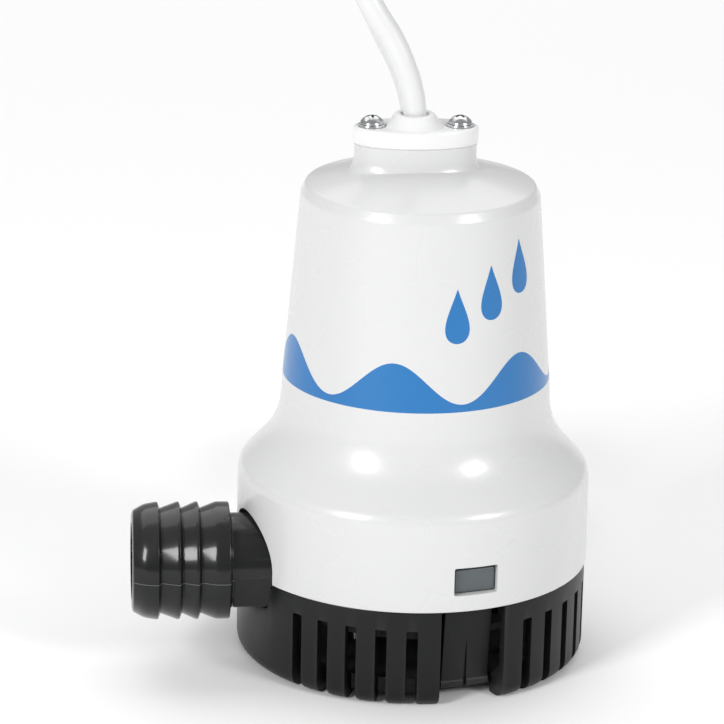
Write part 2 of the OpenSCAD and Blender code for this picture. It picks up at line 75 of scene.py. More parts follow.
def addStudio():
    world = bpy.data.worlds.new("paleRoom")
    bpy.context.scene.world = world
    world.use_nodes = True
    sky = world.node_tree.nodes["Background"]
    sky.inputs["Color"].default_value = (1, 1, 1, 1)
    sky.inputs["Strength"].default_value = studio["skyLight"]
    bpy.context.scene.view_settings.view_transform = "Standard"
    bpy.ops.mesh.primitive_plane_add(size=8, location=(0, 0, 0))
    floor = bpy.context.object
    floor.name = "paleFloor"
    paint = bpy.data.materials.new("floorPaint")
    paint.use_nodes = True
    paint.node_tree.nodes["Principled BSDF"].inputs["Base Color"].default_value = (*studio["floor"], 1)
    paint.node_tree.nodes["Principled BSDF"].inputs["Roughness"].default_value = 0.9
    floor.data.materials.append(paint)
    for name, place, aim, width, height, turn, watts in studio["boxes"]:
        bpy.ops.object.light_add(type="AREA", location=place)
        lamp = bpy.context.object
        lamp.name = name
        lamp.data.shape = "RECTANGLE"
        lamp.data.size, lamp.data.size_y = width, height
        lamp.data.energy = watts
        facing = (Vector(aim) - Vector(place)).to_track_quat("-Z", "Y").to_matrix()
        lamp.rotation_euler = (facing @ Matrix.Rotation(math.radians(turn), 3, "Z")).to_euler()


addCamera()
addStudio()
print("camera and studio ready")


# shader groups that several finishes share

def newGroup(name, inputs, outputs):
    group = bpy.data.node_groups.new(name, "ShaderNodeTree")
    for label, kind, value in inputs:
        socket = group.interface.new_socket(label, in_out="INPUT", socket_type="NodeSocket" + kind)
        socket.default_value = value
    for label, kind in outputs:
        group.interface.new_socket(label, in_out="OUTPUT", socket_type="NodeSocket" + kind)
    return group, group.nodes.new("NodeGroupInput"), group.nodes.new("NodeGroupOutput")


def addMath(nodes, links, work, first, second=None, third=None):
    node = nodes.new("ShaderNodeMath")
    node.operation = work
    for place, value in enumerate((first, second, third)):
        if value is None:
            continue
        if isinstance(value, (int, float)):
            node.inputs[place].default_value = value
        else:
            links.new(value, node.inputs[place])
    return node.outputs[0]


def makeGrainGroup():
    group, ins, outs = newGroup("mouldGrain", [("Fine", "Float", 900.0), ("Wave", "Float", 40.0),
                                               ("Wave Part", "Float", 0.6)],
                                [("Height", "Float"), ("Cloud", "Float")])
    nodes, links = group.nodes, group.links
    place = nodes.new("ShaderNodeTexCoord")
    fine = nodes.new("ShaderNodeTexNoise")
    fine.inputs["Detail"].default_value = 3
    wave = nodes.new("ShaderNodeTexNoise")
    wave.inputs["Detail"].default_value = 2
    links.new(place.outputs["Object"], fine.inputs["Vector"])
    links.new(place.outputs["Object"], wave.inputs["Vector"])
    links.new(ins.outputs["Fine"], fine.inputs["Scale"])
    links.new(ins.outputs["Wave"], wave.inputs["Scale"])
    mixed = nodes.new("ShaderNodeMix")
    links.new(ins.outputs["Wave Part"], mixed.inputs["Factor"])
    links.new(fine.outputs["Fac"], mixed.inputs["A"])
    links.new(wave.outputs["Fac"], mixed.inputs["B"])
    links.new(mixed.outputs["Result"], outs.inputs["Height"])
    links.new(wave.outputs["Fac"], outs.inputs["Cloud"])
    return group


def makeEdgeGroup():
    group, ins, outs = newGroup("edgeWear", [("Start", "Float", 0.52), ("Full", "Float", 0.6),
                                             ("Patch", "Float", 160.0)], [("Worn", "Float")])
    nodes, links = group.nodes, group.links
    shape = nodes.new("ShaderNodeNewGeometry")
    spread = nodes.new("ShaderNodeMapRange")
    spread.interpolation_type = "SMOOTHSTEP"
    links.new(shape.outputs["Pointiness"], spread.inputs["Value"])
    links.new(ins.outputs["Start"], spread.inputs["From Min"])
    links.new(ins.outputs["Full"], spread.inputs["From Max"])
    place = nodes.new("ShaderNodeTexCoord")
    patch = nodes.new("ShaderNodeTexNoise")
    links.new(place.outputs["Object"], patch.inputs["Vector"])
    links.new(ins.outputs["Patch"], patch.inputs["Scale"])
    links.new(addMath(nodes, links, "MULTIPLY", spread.outputs["Result"], patch.outputs["Fac"]),
              outs.inputs["Worn"])
    return group


def makeDustGroup():
    group, ins, outs = newGroup("settledDust", [("Amount", "Float", 0.3), ("Scale", "Float", 70.0)],
                                [("Dust", "Float")])
    nodes, links = group.nodes, group.links
    shape = nodes.new("ShaderNodeNewGeometry")
    split = nodes.new("ShaderNodeSeparateXYZ")
    links.new(shape.outputs["Normal"], split.inputs["Vector"])
    up = nodes.new("ShaderNodeMapRange")
    up.inputs["From Min"].default_value = 0.25
    links.new(split.outputs["Z"], up.inputs["Value"])
    place = nodes.new("ShaderNodeTexCoord")
    speck = nodes.new("ShaderNodeTexNoise")
    speck.inputs["Detail"].default_value = 6
    links.new(place.outputs["Object"], speck.inputs["Vector"])
    links.new(ins.outputs["Scale"], speck.inputs["Scale"])
    patch = addMath(nodes, links, "MULTIPLY", up.outputs["Result"], speck.outputs["Fac"])
    links.new(addMath(nodes, links, "MULTIPLY", patch, ins.outputs["Amount"]), outs.inputs["Dust"])
    return group


def makeDropGroup():
    # a plain water drop, pointed at the top: Bearing and Height are where the surface point is
    group, ins, outs = newGroup("printedDrop", [
        ("Bearing", "Float", 0.0), ("Height", "Float", 0.0), ("At Bearing", "Float", 0.0),
        ("At Height", "Float", 0.0), ("Half Width", "Float", 0.1), ("Half Height", "Float", 0.006)],
        [("Ink", "Float")])
    nodes, links = group.nodes, group.links
    across = addMath(nodes, links, "SUBTRACT", ins.outputs["Bearing"], ins.outputs["At Bearing"])
    across = addMath(nodes, links, "ABSOLUTE", across)
    along = addMath(nodes, links, "SUBTRACT", ins.outputs["Height"], ins.outputs["At Height"])
    along = addMath(nodes, links, "DIVIDE", along, ins.outputs["Half Height"])
    round1 = addMath(nodes, links, "SUBTRACT", 1.0, addMath(nodes, links, "MULTIPLY", along, along))
    round2 = addMath(nodes, links, "SQRT", addMath(nodes, links, "MAXIMUM", round1, 0.0))
    taper = addMath(nodes, links, "MULTIPLY_ADD", along, -0.5, 0.62)
    width = addMath(nodes, links, "MULTIPLY", round2, taper)
    width = addMath(nodes, links, "MULTIPLY", width, ins.outputs["Half Width"])
    links.new(addMath(nodes, links, "LESS_THAN", across, width), outs.inputs["Ink"])
    return group


groups = {"grain": makeGrainGroup(), "edge": makeEdgeGroup(), "dust": makeDustGroup(),
          "drop": makeDropGroup()}


# finishes

finishes = {
    # colour, cloud colour, edge colour, roughness, metallic, coat, bump, fine scale, wave scale
    "whitePlastic": ((0.645, 0.647, 0.648), (0.638, 0.64, 0.642), (0.66, 0.66, 0.66),
        0.27, 0, 0.2, 0.015, 1400, 60),
    "whiteCap": ((0.78, 0.782, 0.782), (0.77, 0.772, 0.774), (0.8, 0.8, 0.8),
        0.32, 0, 0.15, 0.02, 1400, 80),
    "whiteJacket": ((0.71, 0.713, 0.717), (0.7, 0.702, 0.706), (0.73, 0.73, 0.73),
        0.36, 0, 0.1, 0.03, 1600, 90),
    "blackPlastic": ((0.006, 0.0063, 0.0066), (0.0085, 0.0088, 0.0092), (0.035, 0.036, 0.037),
        0.36, 0, 0.0, 0.09, 700, 90),
    "barbPlastic": ((0.006, 0.0064, 0.0066), (0.0085, 0.009, 0.0092), (0.03, 0.032, 0.033),
        0.26, 0, 0.45, 0.05, 700, 80),
    "mouldFlash": ((0.075, 0.078, 0.08), (0.055, 0.057, 0.058), (0.14, 0.145, 0.15),
        0.4, 0, 0.0, 0.1, 900, 300),
    "tabPlastic": ((0.0065, 0.0068, 0.0071), (0.009, 0.0093, 0.0097), (0.035, 0.036, 0.037),
        0.38, 0, 0.0, 0.1, 750, 90),
    "latchFace": ((0.078, 0.092, 0.097), (0.06, 0.072, 0.076), (0.16, 0.18, 0.19),
        0.42, 0, 0.1, 0.08, 900, 120),
    # a darker copy of the black plastic: painted shade for the casing faces inside the strainer and the skirt
    "paintedShadePlastic": ((0.003, 0.003, 0.0032), (0.004, 0.004, 0.0042), (0.008, 0.008, 0.008),
        0.6, 0, 0, 0.1, 700, 60),
    "innerPlastic": ((0.03, 0.03, 0.032), (0.04, 0.04, 0.042), (0.08, 0.08, 0.08),
        0.5, 0, 0, 0.12, 700, 60),
    "stainless": ((0.62, 0.63, 0.64), (0.5, 0.51, 0.52), (0.75, 0.76, 0.77),
        0.22, 1, 0, 0.04, 2500, 300),
    "groundSteel": ((0.5, 0.5, 0.52), (0.42, 0.42, 0.44), (0.7, 0.7, 0.7),
        0.3, 1, 0, 0.05, 2200, 200),
    "zincPlate": ((0.55, 0.56, 0.58), (0.46, 0.47, 0.5), (0.66, 0.66, 0.66),
        0.38, 1, 0, 0.06, 1500, 90),
    "laminations": ((0.2, 0.2, 0.21), (0.15, 0.15, 0.16), (0.4, 0.4, 0.41),
        0.5, 1, 0, 0.1, 1500, 120),
    "blackRubber": ((0.018, 0.018, 0.018), (0.025, 0.025, 0.025), (0.05, 0.05, 0.05),
        0.7, 0, 0, 0.15, 1300, 120),
    "sealRubber": ((0.06, 0.025, 0.018), (0.08, 0.035, 0.025), (0.12, 0.06, 0.05),
        0.65, 0, 0, 0.15, 1300, 120),
    "sinteredBronze": ((0.42, 0.25, 0.1), (0.33, 0.2, 0.09), (0.6, 0.4, 0.2),
        0.48, 1, 0, 0.2, 2400, 300),
    "brass": ((0.7, 0.5, 0.2), (0.6, 0.42, 0.17), (0.8, 0.62, 0.3),
        0.28, 1, 0, 0.05, 1800, 160),
    "copper": ((0.72, 0.34, 0.18), (0.58, 0.26, 0.14), (0.85, 0.5, 0.3),
        0.3, 1, 0, 0.06, 1800, 160),
    "enamelWire": ((0.42, 0.13, 0.04), (0.3, 0.09, 0.03), (0.6, 0.25, 0.1),
        0.25, 0.4, 0.5, 0.3, 2600, 300),
    "ferrite": ((0.05, 0.05, 0.055), (0.07, 0.07, 0.075), (0.1, 0.1, 0.1),
        0.62, 0, 0, 0.2, 1600, 100),
    "carbon": ((0.02, 0.02, 0.022), (0.035, 0.035, 0.037), (0.08, 0.08, 0.08),
        0.55, 0, 0, 0.2, 2200, 200),
    "phenolic": ((0.2, 0.085, 0.03), (0.14, 0.06, 0.02), (0.3, 0.15, 0.07),
        0.5, 0, 0, 0.12, 900, 60),
    "ceramicDip": ((0.55, 0.2, 0.03), (0.45, 0.16, 0.02), (0.65, 0.3, 0.1),
        0.3, 0, 0.4, 0.08, 900, 80),
    "brownCore": ((0.1, 0.035, 0.013), (0.08, 0.028, 0.01), (0.16, 0.07, 0.04),
        0.42, 0, 0.1, 0.06, 1500, 200),
    "blackCore": ((0.015, 0.015, 0.016), (0.022, 0.022, 0.022), (0.05, 0.05, 0.05),
        0.42, 0, 0.1, 0.06, 1500, 200),
    "nylon": ((0.02, 0.02, 0.021), (0.03, 0.03, 0.03), (0.07, 0.07, 0.07),
        0.45, 0, 0, 0.1, 1200, 100),
}
shared = {
    "coatRoughness": 0.12, "bumpDepth": 0.0004, "dustOnMetal": 0.1, "dustOnRest": 0.16,
    "dustColour": (0.5, 0.49, 0.47), "dustTint": 0.4, "dustRoughness": 0.5, "cloudRoughness": 0.1,
}
madeFinishes = {}


def makeFinish(name):
    colour, cloud, edge, rough, metal, coat, bump, fineScale, waveScale = finishes[name]
    material = bpy.data.materials.new(name)
    material.use_nodes = True
    nodes, links = material.node_tree.nodes, material.node_tree.links
    shader = nodes["Principled BSDF"]
    shader.inputs["Metallic"].default_value = metal
    shader.inputs["Coat Weight"].default_value = coat
    shader.inputs["Coat Roughness"].default_value = shared["coatRoughness"]
    dark = not metal and sum(colour) < 0.2  # the dark mouldings shine less
    shader.inputs["Specular IOR Level"].default_value = 0.15 if dark and coat else 0.25 if dark else 0.5
    grain = nodes.new("ShaderNodeGroup")
    grain.node_tree = groups["grain"]
    grain.inputs["Fine"].default_value = fineScale
    grain.inputs["Wave"].default_value = waveScale
    worn = nodes.new("ShaderNodeGroup")
    worn.node_tree = groups["edge"]
    dust = nodes.new("ShaderNodeGroup")
    dust.node_tree = groups["dust"]
    dust.inputs["Amount"].default_value = shared["dustOnMetal"] if metal else shared["dustOnRest"]
    tone = nodes.new("ShaderNodeMix")
    tone.data_type = "RGBA"
    tone.inputs["A"].default_value = (*colour, 1)
    tone.inputs["B"].default_value = (*cloud, 1)
    links.new(grain.outputs["Cloud"], tone.inputs["Factor"])
    edged = nodes.new("ShaderNodeMix")
    edged.data_type = "RGBA"
    edged.inputs["B"].default_value = (*edge, 1)
    links.new(worn.outputs["Worn"], edged.inputs["Factor"])
    links.new(tone.outputs["Result"], edged.inputs["A"])
    dusty = nodes.new("ShaderNodeMix")
    dusty.data_type = "RGBA"
    dusty.inputs["B"].default_value = (*shared["dustColour"], 1)
    tint = shared["dustTint"] if sum(colour) < 1 else 0.0  # dust doesn't tint the pale finishes
    links.new(addMath(nodes, links, "MULTIPLY", dust.outputs["Dust"], tint), dusty.inputs["Factor"])
    links.new(edged.outputs["Result"], dusty.inputs["A"])
    links.new(dusty.outputs["Result"], shader.inputs["Base Color"])
    soft = addMath(nodes, links, "MULTIPLY_ADD", grain.outputs["Cloud"],
                   shared["cloudRoughness"], rough - 0.05)
    soft = addMath(nodes, links, "MULTIPLY_ADD", dust.outputs["Dust"], shared["dustRoughness"], soft)
    links.new(soft, shader.inputs["Roughness"])
    relief = nodes.new("ShaderNodeBump")
    relief.inputs["Strength"].default_value = bump
    relief.inputs["Distance"].default_value = shared["bumpDepth"]
    links.new(grain.outputs["Height"], relief.inputs["Height"])
    links.new(relief.outputs["Normal"], shader.inputs["Normal"])
    return material


def finish(name):
    if name not in madeFinishes:
        madeFinishes[name] = makeFinish(name)
    return madeFinishes[name]


printed = {
    "ink": (0.003, 0.15, 0.42),
    "foot": 73.5, "middle": 80.6, "swell": 5.2, "waves": 6, "phase": 183,  # mm and degrees
    # bearing in degrees, height in mm
    "drops": [(12, 97.5), (29, 102.5), (47, 107.5)],
    "dropWidth": 15, "dropHeight": 6.8,
}


def addPrint(material):
    # a plain blue band with a wavy top edge right round the body, and three drops over it
    nodes, links = material.node_tree.nodes, material.node_tree.links
    shader = nodes["Principled BSDF"]
    place = nodes.new("ShaderNodeTexCoord")
    split = nodes.new("ShaderNodeSeparateXYZ")
    links.new(place.outputs["Object"], split.inputs["Vector"])
    back = addMath(nodes, links, "MULTIPLY", split.outputs["Y"], -1.0)
    bearing = addMath(nodes, links, "ARCTAN2", split.outputs["X"], back)
    height = split.outputs["Z"]
    swing = addMath(nodes, links, "MULTIPLY_ADD", bearing, float(printed["waves"]),
                    math.radians(printed["phase"]))
    crest = addMath(nodes, links, "MULTIPLY_ADD", addMath(nodes, links, "SINE", swing),
                    printed["swell"] * mm, printed["middle"] * mm)
    above = addMath(nodes, links, "GREATER_THAN", height, printed["foot"] * mm)
    ink = addMath(nodes, links, "MULTIPLY", above, addMath(nodes, links, "LESS_THAN", height, crest))
    for atBearing, atHeight in printed["drops"]:
        drop = nodes.new("ShaderNodeGroup")
        drop.node_tree = groups["drop"]
        links.new(bearing, drop.inputs["Bearing"])
        links.new(height, drop.inputs["Height"])
        drop.inputs["At Bearing"].default_value = math.radians(atBearing)
        drop.inputs["At Height"].default_value = atHeight * mm
        drop.inputs["Half Width"].default_value = math.radians(printed["dropWidth"] / 2)
        drop.inputs["Half Height"].default_value = printed["dropHeight"] * mm
        ink = addMath(nodes, links, "MAXIMUM", ink, drop.outputs["Ink"])
    under = shader.inputs["Base Color"].links[0].from_socket
    inked = nodes.new("ShaderNodeMix")
    inked.data_type = "RGBA"
    inked.inputs["B"].default_value = (*printed["ink"], 1)
    links.new(ink, inked.inputs["Factor"])
    links.new(under, inked.inputs["A"])
    links.new(inked.outputs["Result"], shader.inputs["Base Color"])


# modelling helpers

def startFresh():
    if bpy.context.mode != "OBJECT":
        bpy.ops.object.mode_set(mode="OBJECT")
    bpy.ops.object.select_all(action="DESELECT")


def pickOnly(piece):
    startFresh()
    piece.select_set(True)
    bpy.context.view_layer.objects.active = piece


def settle(piece):
    # the object goes to the origin, unturned and unscaled, with its place in its mesh
    pickOnly(piece)
    bpy.ops.object.transform_apply(location=True, rotation=True, scale=True)
    return piece


def fillet(corners, steps=5):
    # corners are (across, up, radius): each corner is rounded by an arc of that radius
    outline = []
    for i, (x, y, radius) in enumerate(corners):
        here = Vector((x, y))
        if not radius or i in (0, len(corners) - 1):
            outline.append(here)
            continue
        before = (Vector(corners[i - 1][:2]) - here).normalized()
        after = (Vector(corners[i + 1][:2]) - here).normalized()
        half = before.angle(after) / 2
        run = radius / math.tan(half)
        centre = here + (before + after).normalized() * radius / math.sin(half)
        first, last = here + before * run - centre, here + after * run - centre
        sweep = first.angle_signed(last)
        for k in range(steps + 1):
            outline.append(centre + Matrix.Rotation(-sweep * k / steps, 2) @ first)
    return outline


def drawLine(name, points):
    # a line of edges: a plane merged to one point, then extruded from point to point
    startFresh()
    bpy.ops.mesh.primitive_plane_add(size=0.0001, location=(0, 0, 0))
    piece = bpy.context.object
    piece.name = name
    bpy.ops.object.mode_set(mode="EDIT")
    bpy.ops.mesh.select_all(action="SELECT")
    bpy.ops.mesh.merge(type="CENTER")
    bpy.ops.transform.translate(value=points[0])
    for here, there in zip(points, points[1:]):
        bpy.ops.mesh.extrude_region_move(TRANSFORM_OT_translate={"value": there - here})
    return piece


def turnOnLathe(name, corners, centre=(0, 0), sides=128, along=None, place=(0, 0, 0), closed=True, steps=5):
    # corners in mm as (radius, height, fillet); along turns the height axis to lie that way
    outline = [Vector((centre[0] * mm + p.x * mm, centre[1] * mm, p.y * mm)) for p in fillet(corners, steps)]
    if closed:
        outline.append(outline[0].copy())
    piece = drawLine(name, outline)
    bpy.ops.mesh.select_all(action="SELECT")
    bpy.ops.mesh.remove_doubles(threshold=0.000001)
    bpy.ops.mesh.select_all(action="SELECT")
    bpy.ops.mesh.spin(steps=sides, angle=math.tau, center=(centre[0] * mm, centre[1] * mm, 0), axis=(0, 0, 1))
    bpy.ops.mesh.select_all(action="SELECT")
    bpy.ops.mesh.remove_doubles(threshold=0.000002)
    bpy.ops.mesh.normals_make_consistent(inside=False)
    bpy.ops.object.mode_set(mode="OBJECT")
    if along:
        piece.rotation_euler = Vector((0, 0, 1)).rotation_difference(Vector(along)).to_euler()
        piece.location = Vector(place) * mm
    return settle(piece)


def pushOut(name, corners, low, high):
    # corners in mm as (y, z, fillet), pushed out along X from low to high
    outline = [Vector((low * mm, p.x * mm, p.y * mm)) for p in fillet(corners + corners[:1])]
    piece = drawLine(name, outline)
    bpy.ops.mesh.select_all(action="SELECT")
    bpy.ops.mesh.remove_doubles(threshold=0.000001)
    bpy.ops.mesh.select_all(action="SELECT")
    bpy.ops.mesh.edge_face_add()
    bpy.ops.mesh.extrude_region_move(TRANSFORM_OT_translate={"value": ((high - low) * mm, 0, 0)})
    bpy.ops.mesh.select_all(action="SELECT")
    bpy.ops.mesh.normals_make_consistent(inside=False)
    bpy.ops.object.mode_set(mode="OBJECT")
    return settle(piece)


def addBox(name, low, high, bevel=0, segments=3):
    # low and high corners in mm
    startFresh()
    middle = [(a + b) / 2 * mm for a, b in zip(low, high)]
    bpy.ops.mesh.primitive_cube_add(size=1, location=middle)
    piece = bpy.context.object
    piece.name = name
    piece.scale = [(b - a) * mm for a, b in zip(low, high)]
    settle(piece)
    if bevel:
        bevelEdges(piece, bevel, segments)
    return piece


def addRod(name, radius, low, high, sides=64):
    # a rod from low to high, in mm
    startFresh()
    a, b = Vector(low) * mm, Vector(high) * mm
    bpy.ops.mesh.primitive_cylinder_add(vertices=sides, radius=radius * mm, depth=(b - a).length,
                                        location=(a + b) / 2)
    piece = bpy.context.object
    piece.name = name
    piece.rotation_euler = (b - a).to_track_quat("Z", "Y").to_euler()
    return settle(piece)


def applyModifier(piece, kind, **values):
    pickOnly(piece)
    modifier = piece.modifiers.new(kind.title(), kind)
    for key, value in values.items():
        setattr(modifier, key, value)
    bpy.ops.object.modifier_apply(modifier=modifier.name)


def bevelEdges(piece, width, segments=3, angle=35):
    applyModifier(piece, "BEVEL", width=width * mm, segments=segments, limit_method="ANGLE",
                  angle_limit=math.radians(angle), harden_normals=False)


def combine(piece, tool, work="DIFFERENCE"):
    applyModifier(piece, "BOOLEAN", object=tool, operation=work, solver="EXACT")
    bpy.data.objects.remove(tool)
    return piece


def joinAll(pieces, name):
    startFresh()
    for piece in pieces:
        piece.select_set(True)
    bpy.context.view_layer.objects.active = pieces[0]
    bpy.ops.object.join()
    pieces[0].name = name
    return pieces[0]


def turnBy(piece, degrees):
    # about the pump's axis
    piece.rotation_euler = (0, 0, math.radians(degrees))
    return settle(piece)


def narrow(piece, beyond, share):
    # the points past that place along Y come together across X
    pickOnly(piece)
    for vertex in piece.data.vertices:
        vertex.select = vertex.co.y > beyond
    for part in (*piece.data.edges, *piece.data.polygons):
        part.select = all(piece.data.vertices[i].select for i in part.vertices)
    bpy.ops.object.mode_set(mode="EDIT")
    bpy.ops.transform.resize(value=(share, 1, 1), center_override=(0, 0, 0))
    bpy.ops.object.mode_set(mode="OBJECT")


def onCircle(radius, degrees):
    angle = math.radians(degrees)
    return radius * math.cos(angle), radius * math.sin(angle)


def copyOf(piece, name):
    copy = piece.copy()
    copy.data = piece.data.copy()
    copy.name = name
    bpy.context.collection.objects.link(copy)
    return copy


def smooth(piece, angle=32):
    pickOnly(piece)
    bpy.ops.object.shade_smooth_by_angle(angle=math.radians(angle))
    return piece


def dress(piece, finishName, body, slot, *nodes):
    piece.data.materials.clear()
    piece.data.materials.append(finish(finishName))
    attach(piece, body)
    if nodes:
        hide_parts(*nodes)
    return piece


# supply cable: out of the boss, over the top, down behind the pump and into its coil

cable = {
    "diameter": 5.9,
    "route": [
        (-2, 0, 126), (-2, 0, 134), (-2, 0, 141), (-3, 0.5, 147), (-5, 0.5, 153), (-8, 1, 159.5),
        (-11.5, 1, 165), (-14.5, 1.5, 170), (-20.5, 4.5, 179), (-25, 11, 186.5), (-28.5, 20.5, 191),
        (-30, 31.5, 192), (-28.5, 42.5, 189.5), (-25.5, 51, 183.5), (-21, 57, 175.5),
        (-15, 58.5, 166), (-9.5, 58, 157), (-4.5, 57, 147), (0, 56.5, 138), (3, 56, 127),
        (3, 56, 115), (-2, 56.5, 100), (-9, 57.5, 84), (-16, 58, 70), (-21, 58.5, 54),
        (-21, 60.5, 43.5), (-20, 66.5, 34), (-19, 75.5, 28), (-18, 86.5, 26), (-17, 94.5, 26)],
    "coilCentre": (14.5, 99), "coilRadius": 31, "coilTop": 26, "coilBottom": 4.3,
    "coilStart": 174, "turns": 3.5, "perTurn": 16,
    "tail": [(44.5, 84, 4), (43, 72, 3), (43, 62, 3)],
    "coreRadius": 1.1, "coreGap": 1.4, "strands": 6, "strandRadius": 0.26, "strandOut": 0.5,
}


def coilPoints():
    count = int(cable["turns"] * cable["perTurn"])
    for i in range(count + 1):
        a = math.radians(cable["coilStart"] - 360 * i / cable["perTurn"])
        drop = (cable["coilTop"] - cable["coilBottom"]) * i / count
        yield (cable["coilCentre"][0] + cable["coilRadius"] * math.cos(a),
               cable["coilCentre"][1] + cable["coilRadius"] * math.sin(a), cable["coilTop"] - drop)


def addTube(name, points, radius, sides=6):
    # one open spline through the points, given in mm
    data = bpy.data.curves.new(name, "CURVE")
    data.dimensions = "3D"
    data.bevel_depth = radius * mm
    data.bevel_resolution = sides
    data.resolution_u = 6
    data.use_fill_caps = True
    spline = data.splines.new("BEZIER")
    spline.bezier_points.add(len(points) - 1)
    for knot, point in zip(spline.bezier_points, points):
        knot.co = Vector(point) * mm
        knot.handle_left_type = knot.handle_right_type = "AUTO"
    tube = bpy.data.objects.new(name, data)
    bpy.context.collection.objects.link(tube)
    return tube


def makeCable():
    line = cable["route"] + list(coilPoints()) + cable["tail"]
    run = addTube("supplyCable", line, cable["diameter"] / 2)
    dress(run, "whiteJacket", "pump", "cable_jacket", "supply_cable", "cable_coil", "cable_tail")
    length = sum((Vector(b) - Vector(a)).length for a, b in zip(line, line[1:])) * mm
    print("cable length %.3f m" % length)
    ends = []
    start = Vector(cable["tail"][-1])
    for name, side, core, slot, node in (
            ("leadEndPositive", -1, "brownCore", "wire_brown", "lead_end_positive"),
            ("leadEndNegative", 1, "blackCore", "wire_black", "lead_end_negative")):
        gap = side * cable["coreGap"]
        path = [start + Vector(step) for step in ((gap, 1.5, 0), (gap, 0, 0), (gap * 1.3, -8, -0.6),
                                                  (gap * 1.85, -14.5, -1.2))]
        sleeve = addTube(name, path, cable["coreRadius"], 4)
        dress(sleeve, core, "pump", slot, node)
        tip = path[-1]
        away = (path[-1] - path[-2]).normalized()
        away.z = 0
        strands = []
        count = cable["strands"]
        for k in range(count + 1):  # bare strands twisted round one in the middle
            turn = math.tau * k / count
            out = 0 if k == count else cable["strandOut"]
            twist = []
            for s in (0, 1.5, 3, 4.4):
                a = turn + s * 0.5
                twist.append(tip + away * (s - 0.8) + Vector((math.cos(a), 0, math.sin(a))) * out)
            strands.append(addTube(name + "Strand%d" % k, twist, cable["strandRadius"], 2))
        startFresh()
        for strand in strands:
            strand.select_set(True)
        bpy.context.view_layer.objects.active = strands[0]
        bpy.ops.object.convert(target="MESH")
        bundle = joinAll(strands, name + "Strands")
        dress(bundle, "copper", "pump", "copper")
        ends += [sleeve, bundle]
    return run, length, ends


tie = {"halfWidth": 1.25, "thick": 1.1, "play": 0.05, "headHalf": 2.1, "bearing": 42.5}


def makeTie():
    # nylon tie round the coil, with its head on the outside
    half, thick, play = cable["diameter"] / 2, tie["thick"], tie["play"]
    near, far = cable["coilRadius"] - half, cable["coilRadius"] + half
    low, high = cable["coilBottom"] - half, cable["coilTop"] + half
    band = addBox("cableTie", (near - thick, -tie["halfWidth"], low - thick),
                  (far + thick, tie["halfWidth"], high + thick), 1.0)
    combine(band, addBox("tieInside", (near - play, -4, low - play), (far + play, 4, high + play)))
    head = addBox("tieHead", (far + 0.2, -tie["headHalf"], high - 6),
                  (far + 1.2, tie["headHalf"], high - 1.5), 0.3)
    combine(band, head, "UNION")
    band.rotation_euler = (0, 0, math.radians(tie["bearing"]))
    band.location = (cable["coilCentre"][0] * mm, cable["coilCentre"][1] * mm, 0)
    settle(band)
    smooth(band)
    return dress(band, "nylon", "pump", "tie_nylon", "cable_tie")


supplyCable, cableLength, leadEnds = makeCable()
cableTie = makeTie()
print("cable, tie and lead ends made")


# motor housing

shell = {
    "skirt": 45, "joint": 25.3, "topBody": 30, "topHeight": 122.7,
    "capX": -1.6, "neckA": 15.3, "neckB": 8.1, "seam": 133.3,
    "notchRadius": 12.5, "notchY": -12.6, "notchZ": 28.2,
    "window": 11.4, "windowLow": 29.6, "windowHigh": 36.8, "tabBearing": 15.3,
    "cableX": -2, "gland": 6.5, "wayIn": 4.5, "pilot": 1.5, "pilotOut": 11,
    # how far the neck's foot spreads, and its height
    "neckFoot": [(2.1, 125.4), (1.4, 126.1), (0.8, 126.9), (0.35, 127.8), (0.1, 128.8), (0, 130),
                 (0, 133.05), (-0.25, 133.3)],
}


def addOval(name, rings, a, b, sides=96):
    # rings are (spread, height) in mm: an oval loop is extruded from ring to ring and closed
    startFresh()
    spread, height = rings[0]
    bpy.ops.mesh.primitive_circle_add(vertices=sides, radius=1, fill_type="NGON",
                                      location=(shell["capX"] * mm, 0, height * mm))
    piece = bpy.context.object
    piece.name = name
    piece.scale = ((a + spread) * mm, (b + spread) * mm, 1)
    settle(piece)
    bpy.ops.object.mode_set(mode="EDIT")
    bpy.ops.mesh.select_all(action="SELECT")
    for nextSpread, nextHeight in rings[1:]:
        bpy.ops.mesh.extrude_region_move(
            TRANSFORM_OT_translate={"value": (0, 0, (nextHeight - height) * mm)})
        bpy.ops.transform.resize(value=((a + nextSpread) / (a + spread), (b + nextSpread) / (b + spread), 1),
                                 center_override=(shell["capX"] * mm, 0, nextHeight * mm))
        spread, height = nextSpread, nextHeight
    bpy.ops.mesh.select_all(action="SELECT")
    bpy.ops.mesh.normals_make_consistent(inside=False)
    bpy.ops.object.mode_set(mode="OBJECT")
    return piece


